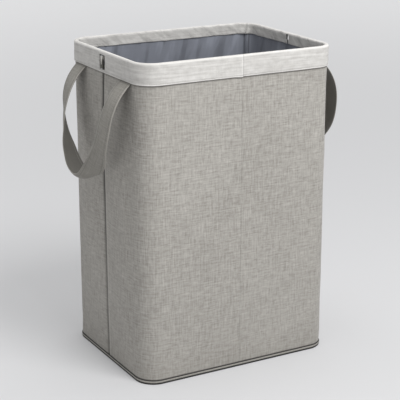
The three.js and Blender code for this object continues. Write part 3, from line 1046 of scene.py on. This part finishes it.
class HAMPER_OT_lining(bpy.types.Operator):
    """Slate lining of the walls, cut a little wide and settled into folds by cloth simulation"""

    bl_idname = "hamper.lining"
    bl_label = "Lining"

    def execute(self, context):
        sizes, colours = context.scene.hamper_sizes, context.scene.hamper_colours
        whole = ring(
            "lining", LINING_DEPTH, LINING_LOW, LINING_HIGH, rows=72, side_steps=28,
            wall_steps=40, fine=False,
        )
        co = points(whole)
        run, z = girth_run(co), co[:, 2]
        lay_out(whole, run, z)
        seed = grain(np.stack([run + 0.35 * z, z, 0 * z], 1), (26, 5, 0), 17, 3)
        hung = ease(BODY_HEIGHT - z, LINING_HELD, 44 * MM)
        start = place(co, LINING_DEPTH + np.clip(seed, -0.6, 1) * 4 * MM * hung)
        set_points(whole, start)
        wide = co.copy()
        wide[:, :2] *= 1 + sizes.lining_slack
        pins = (z < LINING_LOW + 2 * MM) | (z > BODY_HEIGHT - LINING_HELD)
        settled = settle(whole, wide, pins, sizes)
        core, normal = outward(co)
        reach = ((settled[:, :2] - core) * normal).sum(1)
        deepen = 1.2 + 1.4 * ease(z, 0.25, 0.5)
        inward = np.clip((CORNER - LINING_DEPTH - reach) * deepen, 0, sizes.lining_fold)
        calm = self.calm(co)
        slid = place(settled, LINING_DEPTH)
        co = co + (slid - co) * calm[:, None]
        pleat = 4.5 * MM * ridge(corner_distance(girth_run(co)), 5 * MM)
        open_corner = (co[:, 0] > 0) & (co[:, 1] < 0)
        pleat *= np.where(open_corner, 0, 1) * ease(BODY_HEIGHT - z, 18 * MM, 32 * MM)
        set_points(whole, place(co, LINING_DEPTH + inward * calm + pleat))
        apply(whole, "SUBSURF", levels=1, render_levels=1, boundary_smooth="PRESERVE_CORNERS")
        finish = lining_look("lining cloth", tuple(colours.lining), pleat_shade=True)
        cut_ring(
            whole, "lining", finish, LINING_THICK,
            held="hung", shape=self.shape,
        )
        return {"FINISHED"}

    def calm(self, co):
        """How free the lining is to fold: not at its top, its cuts, its creases or the divider."""
        x, y, z = co[:, 0], co[:, 1], co[:, 2]
        on_wall = np.abs(y) > CORE_Y
        calm = ease(BODY_HEIGHT - z, 22 * MM, 30 * MM)
        calm *= np.where(on_wall, ease(np.abs(x), 13 * MM, 34 * MM), 1)
        calm *= np.where(~on_wall, ease(np.abs(np.abs(y) - SIDE_CUT), 0, 24 * MM), 1)
        calm *= np.where(x > 0, ease(np.abs(y + CORE_Y), 0, 20 * MM), 1)
        calm *= np.where(~on_wall, 0.4 + 0.6 * ease(np.abs(y), 4 * MM, 30 * MM), 1)
        return calm

    def shape(self, piece, name):
        """Leaves the slit behind the band's at mid-side."""
        if name in ("left", "right"):
            cut_away(piece, lambda c: abs(c.y) < 4.3 * MM and c.z > BODY_HEIGHT - 21 * MM)


# The welt, from behind the cover's foot, round the piping and down the dark edge strip:
# depth and height in mm
WELT_PATH = [
    (3.6, 10.4), (3.2, 9.9), (2.9, 9.2), (2.75, 8.5), (2.5, 7.9), (1.7, 7.5), (1.05, 6.9),
    (0.8, 6.1), (0.78, 5.3), (0.95, 4.5), (1.4, 3.9), (2.0, 3.5), (1.75, 3.2), (1.45, 2.5),
    (1.4, 1.5), (1.5, 0.8), (2.0, 0.3), (3.0, 0.22), (3.9, 0.22),
]


class HAMPER_OT_welt(bpy.types.Operator):
    """Piping round the foot, over a dark edge strip"""

    bl_idname = "hamper.welt"
    bl_label = "Welt"

    def execute(self, context):
        colours = context.scene.hamper_colours
        rows = len(WELT_PATH) - 1
        whole = ring("welt", 1 * MM, 0, WELT_RUN, rows)
        co = points(whole)
        row = rows - row_of(co[:, 2], 0, WELT_RUN, rows)
        depth, z = (np.array(WELT_PATH) * MM)[row].T
        lay_out(whole, girth_run(co), WELT_RUN - z)
        drift = grain(place(co, 0.0), (10, 10, 0), 31) * 0.2 * MM
        set_points(whole, place(co, depth + drift, z))
        finish = welt_look("welt cloth", tone(colours.cover, 0.9), tuple(colours.foot_edge))
        cut_ring(whole, "welt", finish, WELT_THICK)
        return {"FINISHED"}


# Line of a loop, close to that of the frame's straps: half its width, how far its ends are from
# the middle, how far it drops, how far it reaches out and how soon, and how full its curve is
STRAP_HALF, STRAP_SPACING, STRAP_DROP = 21 * MM, 94 * MM, 189 * MM
STRAP_REACH, STRAP_LEAN, STRAP_FULL = 48 * MM, 40 * MM, 2.15
# How late each end turns as it hangs, where it is sewn, its thickness, and its folded share
STRAP_TURN = {"front": 5, "back": 1.9}
STRAP_ROOT_X, STRAP_ROOT_Z = 205.05 * MM, 569.7 * MM
STRAP_THICK, STRAP_KEEP = 1.5 * MM, 0.12
# The halves reach a little past the middle, so that no gap shows between them
STRAP_LAP = 0.25 * MM


def strap_line(share):
    """Middle of a loop at a share of its half, and how far it has come down, as a share."""
    angle = share * math.pi / 2
    across, down = (turn ** (2 / STRAP_FULL) for turn in (math.cos(angle), math.sin(angle)))
    drop = STRAP_DROP * down
    out = STRAP_REACH * (1 - math.exp(-drop / STRAP_LEAN))
    y = (STRAP_SPACING + STRAP_LAP) * across - STRAP_LAP
    return Vector((STRAP_ROOT_X + out, y, STRAP_ROOT_Z - drop)), down


def strap_frame(share, power):
    """Centre, width direction and face direction of a loop at a share of its half."""
    step = 0.01
    centre, down = strap_line(share)
    along = Vector((0, 0, -1))
    if share > 0:
        before, after = strap_line(max(share - step, 0))[0], strap_line(min(share + step, 1))[0]
        along = (after - before).normalized()
    turn = math.pi / 2 * down ** power
    flat = Vector((0, along.z, -along.y)).normalized()
    wide = flat * math.cos(turn) + Vector((math.sin(turn), 0, 0))
    wide = (wide - along * wide.dot(along)).normalized()
    return centre, wide, wide.cross(along)


class HAMPER_OT_loops(bpy.types.Operator):
    """Carrying loops: a folded and stitched strap that turns as it hangs, in two halves a side"""

    bl_idname = "hamper.loops"
    bl_label = "Loops"

    def execute(self, context):
        colours = context.scene.hamper_colours
        finish = strap_look("strap cloth", tuple(colours.strap), STRAP_HALF)
        halves = {end: self.half_loop(power) for end, power in STRAP_TURN.items()}
        for side_name, side in (("left", -1), ("right", 1)):
            for end_name, end in (("front", -1), ("back", 1)):
                loop = side_name + "_" + end_name
                piece = copy_of(halves[end_name], loop + "_loop_strap")
                set_points(piece, points(piece) * (side, end, 1))
                if side * end < 0:
                    flip(piece)
                smooth(piece, 40)
                wear(piece, finish)
                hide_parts(loop + "_handle_strap")
                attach(piece, loop + "_loop")
                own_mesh(piece)
        for first in halves.values():
            remove(first)
        return {"FINISHED"}

    def half_loop(self, power):
        """Half a loop at the back of the right side, cupped across and turning as it hangs."""
        piece = grid("half_loop", 12, 96)
        co = points(piece)
        share = np.round(np.clip(co[:, 1] + 0.5, 0, 1), 6)
        width = co[:, 0] * 2
        shares = sorted(set(share))
        frames = {s: strap_frame(s, power) for s in shares}
        lengths, self.length = {shares[0]: 0.0}, 0.0
        for a, b in zip(shares, shares[1:]):
            self.length += (frames[b][0] - frames[a][0]).length
            lengths[b] = self.length
        out, faces = np.zeros_like(co), np.zeros_like(co)
        for i, (s, w) in enumerate(zip(share, width)):
            centre, wide, face = frames[s]
            curl = 0.12 + 0.95 * strap_line(s)[1] ** 3
            bow = STRAP_HALF / curl
            cup = bow * (math.cos(w * curl) - 1) + 0.4 * bow * (1 - math.cos(curl))
            ripple = 0.5 * MM * math.sin(s * 23 + w * 1.7) * math.sin(math.pi * s)
            out[i] = centre + wide * (bow * math.sin(w * curl)) + face * (cup + ripple)
            faces[i] = face
        lay_out(piece, width * STRAP_HALF, np.array([lengths[s] for s in share]))
        set_points(piece, out)
        apply(piece, "SOLIDIFY", thickness=STRAP_THICK, offset=0)
        moved = points(piece) - np.tile(out, (2, 1))
        inner = (moved * np.tile(faces, (2, 1))).sum(1) < 0
        piece.data.attributes.new("inner", "FLOAT", "POINT").data.foreach_set("value", inner * 1.0)
        apply(piece, "BEVEL", width=0.45 * MM, segments=2, limit_method="ANGLE")
        return piece


# The floor cloth's inset from the body, its thickness, and the share of its middle that is left
# between the long walls when the sides are folded
FLOOR_INSET, FLOOR_THICK, FLOOR_KEEP = 3.8 * MM, 1.2 * MM, 0.1705


class HAMPER_OT_base(bpy.types.Operator):
    """Sewn floor cloth and the two cloth-wrapped floor boards"""

    bl_idname = "hamper.base"
    bl_label = "Base"

    def execute(self, context):
        colours = context.scene.hamper_colours
        self.floor_cloth(cover_look("floor cloth", tone(colours.cover, 0.9), walls=False))
        wrap = lining_look("board cloth", tone(colours.lining, 1.05))
        for end in ("front", "back"):
            self.board(end, wrap)
        return {"FINISHED"}

    def floor_cloth(self, finish):
        """The cloth with its stitched border, in three strips; the middle one gets a mesh of its
        own.
        """
        wide, corner = 2 * (HALF_WIDTH - FLOOR_INSET), CORNER - FLOOR_INSET
        piece = plane("floor_cloth_sewn")
        edit(piece)
        bpy.ops.transform.resize(value=(wide, 2 * (HALF_DEPTH - FLOOR_INSET), 1))
        bpy.ops.mesh.bevel(offset=corner, segments=CORNER_STEPS, affect="VERTICES")
        take_all()
        inset((5 * MM, 0), (1.2 * MM, 0.2 * MM), (1.2 * MM, -0.2 * MM), (16 * MM, 0),
              (40 * MM, 0.1 * MM))
        leave()
        for name, low, high, body in (("front", None, -CORE_Y, "front_wall"),
                                      ("middle", -CORE_Y, CORE_Y, "back_wall"),
                                      ("back", CORE_Y, None, "back_wall")):
            part = self.strip(piece, "floor_cloth_" + name, low, high)
            smooth(part, 60)
            wear(part, finish)
            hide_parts("floor_cloth")
            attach(part, body)
            if name == "middle":
                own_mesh(part)
        remove(piece)

    def strip(self, whole, name, low, high):
        """The part of the floor cloth between two lines across it, or one line and its end."""
        part = copy_of(whole, name)
        bpy.ops.object.mode_set(mode="EDIT")
        for y, way in ((low, -1), (high, 1)):
            if y is not None:
                take_all()
                bpy.ops.mesh.bisect(plane_co=(0, y, 0), plane_no=(0, way, 0), clear_outer=True)
        leave()
        co = points(part)
        lay_out(part, co[:, 0], co[:, 1])
        apply(part, "SOLIDIFY", thickness=FLOOR_THICK, offset=0)
        co = points(part)
        co[:, 2] = np.maximum(co[:, 2] + FLOOR_THICK / 2, 0)
        set_points(part, co)
        return part

    def board(self, end, finish):
        """Copies the frame's board, wraps it: rounds its edges and crowns the cloth a little."""
        rest_hands()
        name = end + "_floor_board"
        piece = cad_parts[name].copy()
        piece.data = piece.data.copy()
        piece.parent = None
        piece.name = piece.data.name = end + "_board_wrapped"
        for key in [k for k in piece.keys() if k.startswith("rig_")]:
            del piece[key]
        bpy.context.scene.collection.objects.link(piece)
        edit(piece, "VERT")
        bpy.ops.mesh.remove_doubles(threshold=0.01 * MM)
        bpy.ops.mesh.dissolve_limited(angle_limit=math.radians(1))
        leave()
        apply(piece, "BEVEL", width=1.1 * MM, segments=3, limit_method="ANGLE",
              angle_limit=math.radians(60))
        edit(piece, "FACE")
        choose(piece, "FACE", lambda middle, normal: abs(normal.z) > 0.99)
        inset((5 * MM, 0), (0.8 * MM, -0.3 * MM), (0.8 * MM, 0.3 * MM))
        leave()
        co = points(piece)
        while piece.data.uv_layers:
            piece.data.uv_layers.remove(piece.data.uv_layers[0])
        lay_out(piece, co[:, 0], co[:, 1] + co[:, 2])
        smooth(piece, 40)
        wear(piece, finish)
        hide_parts(name)
        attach(piece, end + "_board")


# The divider: spare length of its cloth, the most that it bellies, the share of it that is left
# when the sides are folded, its lowest edge, and the height and number of the frame's slack waves
DIVIDER_SLACK, DIVIDER_BELLY, DIVIDER_KEEP = 1.018, 10 * MM, 0.347
DIVIDER_FOOT = 5.4 * MM
DIVIDER_WAVE, DIVIDER_WAVES = 3 * MM, 1.5
# The binding's folded strip over the top edge: place across and height above it, in mm
BINDING_PATH = [
    (-1.9, 0.6), (-1.9, 3.4), (-1.65, 3.9), (-1.9, 4.4), (-1.95, 8), (-1.6, 10.4), (-0.8, 11.5),
    (0, 11.75), (0.8, 11.5), (1.6, 10.4), (1.95, 8), (1.9, 4.4), (1.65, 3.9), (1.9, 3.4),
    (1.9, 0.6),
]


class HAMPER_OT_divider(bpy.types.Operator):
    """Cloth divider hung slack between the long walls, with its bound top edge"""

    bl_idname = "hamper.divider"
    bl_label = "Divider"

    def execute(self, context):
        sizes, colours = context.scene.hamper_sizes, context.scene.hamper_colours
        low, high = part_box("divider_panel")
        reach = high.y
        panel = self.strip("divider_cloth", reach, low.z, high.z + 4 * MM, 56, 72)
        flat = points(panel)
        lay_out(panel, flat[:, 1], flat[:, 2])
        co = flat.copy()
        co[:, 0] = self.slack(co[:, 1], reach)
        free = ease(reach - np.abs(co[:, 1]), 0, 30 * MM)
        below = ease(high.z - co[:, 2], 0, 0.1)
        co[:, 0] += 0.8 * MM * grain(co, (1, 16, 9), 13) * below * free
        set_points(panel, co)
        flat[:, 1] *= DIVIDER_SLACK
        pins = (np.abs(co[:, 1]) > reach - 1 * MM) | (co[:, 2] > high.z - 2 * MM)
        co = settle(panel, flat, pins, sizes)
        co[:, 0] = DIVIDER_BELLY * np.tanh(co[:, 0] / DIVIDER_BELLY)
        co[:, 2] = np.maximum(co[:, 2], DIVIDER_FOOT)
        set_points(panel, co)
        apply(panel, "SUBSURF", levels=1, render_levels=1, boundary_smooth="PRESERVE_CORNERS")
        apply(panel, "SOLIDIFY", thickness=1.2 * MM, offset=0)
        finish = lining_look("divider cloth", tone(colours.lining, 1.08))
        self.hang(panel, reach, finish, "lining_cloth", "divider_panel")
        self.binding(reach, high.z, colours)
        return {"FINISHED"}

    def slack(self, y, reach):
        """The frame's slack waves across the body."""
        return DIVIDER_WAVE * np.sin(2 * math.pi * DIVIDER_WAVES * (y / reach + 1) / 2)

    def strip(self, name, reach, low, high, across, up):
        """A flat upright strip from the front wall to the back wall."""
        piece = grid(name, across, up)
        co = points(piece)
        z = low + (co[:, 1] + 0.5) * (high - low)
        set_points(piece, np.stack([np.zeros(len(co)), co[:, 0] * 2 * reach, z], 1))
        return piece

    def binding(self, reach, top, colours):
        """Canvas folded over the divider's top edge, with a row of stitches."""
        last = len(BINDING_PATH) - 1
        piece = self.strip("divider_binding", reach, 0, 1, 72, last)
        co = points(piece)
        row = row_of(co[:, 2], 0, 1, last)
        offset = np.array(BINDING_PATH)[row] * MM
        run = np.abs(row - last / 2) * 1.4 * MM
        lay_out(piece, co[:, 1], STITCH_V + 8 * MM - run)
        co[:, 0] = self.slack(co[:, 1], reach) + offset[:, 0]
        co[:, 2] = top + offset[:, 1] - 0.3 * MM
        set_points(piece, co)
        apply(piece, "SOLIDIFY", thickness=0.6 * MM, offset=0)
        finish = canvas_look("binding canvas", tuple(colours.band))
        self.hang(piece, reach, finish, "band_canvas", "divider_top_binding")

    def hang(self, piece, reach, finish, slot, node):
        """Hangs a piece from the back wall."""
        smooth(piece)
        wear(piece, finish)
        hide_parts(node)
        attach(piece, "back_wall")
        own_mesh(piece)


# Line that the open right front corner turns about, and what is tucked round it: the radius and
# turn of each cloth, and how far the tuck of the side lies under that of the wall
OPEN_HINGE = Vector((196.8 * MM, -116.7 * MM, 0))
COVER_TUCK, BAND_TUCK, TUCK_UNDER = (6.5 * MM, 68), (8.5 * MM, 60), 0.95 * MM


class HAMPER_OT_tucks(bpy.types.Operator):
    """Cloth tucked round the right front crease, which fills that corner as it folds"""

    bl_idname = "hamper.tucks"
    bl_label = "Corner tucks"

    def execute(self, context):
        colours = context.scene.hamper_colours
        cloth = cover_look("tuck cloth", tuple(colours.cover), walls=False)
        canvas = canvas_look("tuck canvas", tuple(colours.band))
        for body, turn, under in (("front_wall", -1, 0), ("right_front_side", 1, TUCK_UNDER)):
            for name, (radius, degrees), low, high, finish, slot in (
                ("cover_tuck_", COVER_TUCK, 1 * MM, HEM_Z, cloth, "cover_cloth"),
                ("band_tuck_", BAND_TUCK, HEM_Z + 0.6 * MM, BODY_HEIGHT - 2 * MM, canvas,
                 "band_canvas"),
            ):
                piece = self.tuck(name + body, radius - under, low, high, turn * degrees)
                wear(piece, finish)
                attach(piece, body)
        return {"FINISHED"}

    def tuck(self, name, radius, low, high, degrees):
        """A strip that turns round the open hinge, from the line where the side's face meets it."""
        piece = plane(name)
        edit(piece)
        choose(piece, "VERT", lambda middle, normal: middle.y < 0)
        bpy.ops.mesh.delete(type="VERT")
        take_all()
        mesh = bmesh.from_edit_mesh(piece.data)
        for v, z in zip(mesh.verts, (low, high)):
            v.co = (OPEN_HINGE.x + radius, OPEN_HINGE.y, z)
        bmesh.update_edit_mesh(piece.data)
        bpy.ops.mesh.subdivide(number_cuts=11)
        bpy.ops.mesh.spin(
            steps=10, angle=math.radians(degrees), center=OPEN_HINGE, axis=(0, 0, 1)
        )
        leave()
        co = points(piece)
        around = np.arctan2(co[:, 1] - OPEN_HINGE.y, co[:, 0] - OPEN_HINGE.x) * radius
        lay_out(piece, around, co[:, 2])
        apply(piece, "SOLIDIFY", thickness=0.8 * MM, offset=0)
        smooth(piece)
        return piece


class HAMPER_OT_fittings(bpy.types.Operator):
    """Finishes of the stiff parts that show in the slots and inside: sheets, rim, pins and tapes"""

    bl_idname = "hamper.fittings"
    bl_label = "Fittings"

    def execute(self, context):
        colours = context.scene.hamper_colours
        # Pale rim plastic, and near-black for the rim links' arms and foot: painted shade, as they
        # lie deep in the slots
        pale, dark = (0.62, 0.60, 0.56), (0.13, 0.125, 0.11)
        looks = {
            "_stiffener": sheet_look("stiffener sheet", (0.68, 0.66, 0.61)),
            "_rim_link": moulded_look("rim plastic", pale, dark, 1.3 * MM, 586 * MM),
            "_rim_strip": sheet_look("rim strip plastic", pale),
            "_rim_pin": steel_look("pin steel", (0.55, 0.56, 0.57)),
            "_divider_tape": tape_look("hook tape", (0.075, 0.08, 0.095)),
            "_handle_tab": sheet_look("strap end cloth", tuple(colours.strap)),
        }
        for node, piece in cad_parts.items():
            for ending, material in looks.items():
                if node.endswith(ending):
                    for kept in piece.material_slots:
                        kept.material = material
        return {"FINISHED"}


# ---- Stage ----

# The paper's size and where it turns up; the camera's place round the hamper and its roll
PAPER, PAPER_BACK = 14, 6
AZIMUTH, ELEVATION, ROLL = (math.radians(angle) for angle in (-29.4, 17.1, 0.1))
DISTANCE, AIM = 2.52, Vector((0, 0, 0.2945))
LENS, FILM = 115, 36


class HAMPER_OT_stage(bpy.types.Operator):
    """Pale floor and backdrop, soft studio light and the camera"""

    bl_idname = "hamper.stage"
    bl_label = "Stage"

    def execute(self, context):
        self.floor()
        self.lights(context.scene)
        self.camera(context.scene)
        context.scene.view_settings.view_transform = "Standard"
        return {"FINISHED"}

    def floor(self):
        """Paper that curves up behind the hamper, as bright as it looks whatever lights it."""
        piece = plane("studio_floor", PAPER)
        edit(piece)
        choose(piece, "EDGE", lambda middle, edge: middle.y > PAPER_BACK)
        bpy.ops.mesh.extrude_edges_move(TRANSFORM_OT_translate={"value": (0, 0, PAPER_BACK)})
        choose(
            piece, "EDGE", lambda m, edge: m.y > PAPER_BACK and abs(m.z) < 0.01 and abs(edge.x) > 1
        )
        bpy.ops.mesh.bevel(offset=2.5, segments=24)
        leave()
        smooth(piece, 60)
        look = Look("studio paper")
        where, (x, y, _) = look.place()
        path = look.node("LIGHT_PATH", {}, {})
        rays = ("Is Camera Ray", "Is Glossy Ray", "Is Transmission Ray")
        camera, glossy, through = (Term(look, path.outputs[ray]) for ray in rays)
        seen = camera + glossy + through
        broad = look.noise(where, 0.7, 1.0)
        paper = look.mix(broad, (0.66, 0.66, 0.665), (0.68, 0.68, 0.685))
        paper = look.mix(seen, paper, (0.50, 0.50, 0.505))
        far = (x * x + y * y) ** 0.5
        glow = look.mix(far.rise(0.5, 5.5), (0.165, 0.165, 0.168), (0.46, 0.46, 0.463))
        across, behind = 0.87 * x - 0.49 * y, 0.49 * x + 0.87 * y
        glow = look.mix(across.rise(0, -1.5) * 0.14, glow, (0.6, 0.6, 0.603))
        glow = look.mix(across.rise(0, 1.0) * behind.rise(0.5, -0.5) * 0.5, glow, (0, 0, 0))
        glow = look.mix(seen, (0, 0, 0), glow)
        look.finish(paper, 0.9, specular_ior_level=0.1, emission_color=glow, emission_strength=1.0)
        piece.data.materials.append(look.material)

    def lights(self, scene):
        world = bpy.data.worlds.new("studio")
        scene.world = world
        world.use_nodes = True
        ground = world.node_tree.nodes["Background"]
        ground.inputs["Color"].default_value = (0.98, 0.99, 1.0, 1)
        ground.inputs["Strength"].default_value = 0.54
        self.backdrop(world.node_tree, ground)
        self.lamp("key", at=(0.3, -1.52, 2.36), aim=(0, 0, 0.35), size=1.3, power=47)
        self.lamp("top", at=(0.2, 0.6, 3.4), aim=(0, 0, 0.3), size=2.4, power=26)

    def backdrop(self, tree, ground):
        """Shows the world as pale as the floor, without lighting the hamper with it."""
        path = tree.nodes.new("ShaderNodeLightPath")
        pale = tree.nodes.new("ShaderNodeBackground")
        pale.inputs["Color"].default_value = (0.70, 0.70, 0.705, 1)
        both = tree.nodes.new("ShaderNodeMixShader")
        tree.links.new(path.outputs["Is Camera Ray"], both.inputs[0])
        tree.links.new(ground.outputs[0], both.inputs[1])
        tree.links.new(pale.outputs[0], both.inputs[2])
        tree.links.new(both.outputs[0], tree.nodes["World Output"].inputs["Surface"])

    def lamp(self, name, at, aim, size, power):
        rest_hands()
        bpy.ops.object.light_add(type="AREA", location=at)
        lamp = bpy.context.object
        lamp.name = name
        lamp.data.shape = "DISK"
        lamp.data.size = size
        lamp.data.energy = power
        lamp.rotation_euler = (Vector(aim) - Vector(at)).to_track_quat("-Z", "Y").to_euler()

    def camera(self, scene):
        level = math.cos(ELEVATION)
        back = Vector(
            (math.sin(AZIMUTH) * level, -math.cos(AZIMUTH) * level, math.sin(ELEVATION))
        )
        rest_hands()
        bpy.ops.object.camera_add(location=AIM + back * DISTANCE)
        camera = bpy.context.object
        camera.rotation_euler = (-back).to_track_quat("-Z", "Y").to_euler()
        camera.rotation_euler.rotate_axis("Z", ROLL)
        camera.data.lens, camera.data.sensor_width = LENS, FILM
        camera.data.clip_end = 100
        camera.data.dof.use_dof = False
        scene.camera = camera


# ---- Panel and registration ----

STEPS = [
    "cover", "band", "lining", "welt", "loops", "base", "divider", "tucks", "fittings", "stage",
]


class HAMPER_PT_panel(bpy.types.Panel):
    """Lists the hamper's pieces and its settings"""

    bl_label = "Laundry hamper"
    bl_idname = "HAMPER_PT_panel"
    bl_space_type = "VIEW_3D"
    bl_region_type = "UI"
    bl_category = "Hamper"

    def draw(self, context):
        for settings in (context.scene.hamper_sizes, context.scene.hamper_colours):
            box = self.layout.box()
            for name in settings.bl_rna.properties.keys():
                if name not in ("rna_type", "name"):
                    box.prop(settings, name)
        for step in STEPS:
            self.layout.operator("hamper." + step)


CLASSES = [
    HamperColours, HamperSizes, HAMPER_OT_cover, HAMPER_OT_band, HAMPER_OT_lining,
    HAMPER_OT_welt, HAMPER_OT_loops, HAMPER_OT_base, HAMPER_OT_divider, HAMPER_OT_tucks,
    HAMPER_OT_fittings, HAMPER_OT_stage, HAMPER_PT_panel,
]


def register():
    for kind in CLASSES:
        bpy.utils.register_class(kind)
    bpy.types.Scene.hamper_colours = PointerProperty(type=HamperColours)
    bpy.types.Scene.hamper_sizes = PointerProperty(type=HamperSizes)


def unregister():
    del bpy.types.Scene.hamper_sizes
    del bpy.types.Scene.hamper_colours
    for kind in reversed(CLASSES):
        bpy.utils.unregister_class(kind)


def main():
    register()
    for step in STEPS:
        getattr(bpy.ops.hamper, step)()
    rest_hands()


if __name__ == "__main__":
    main()
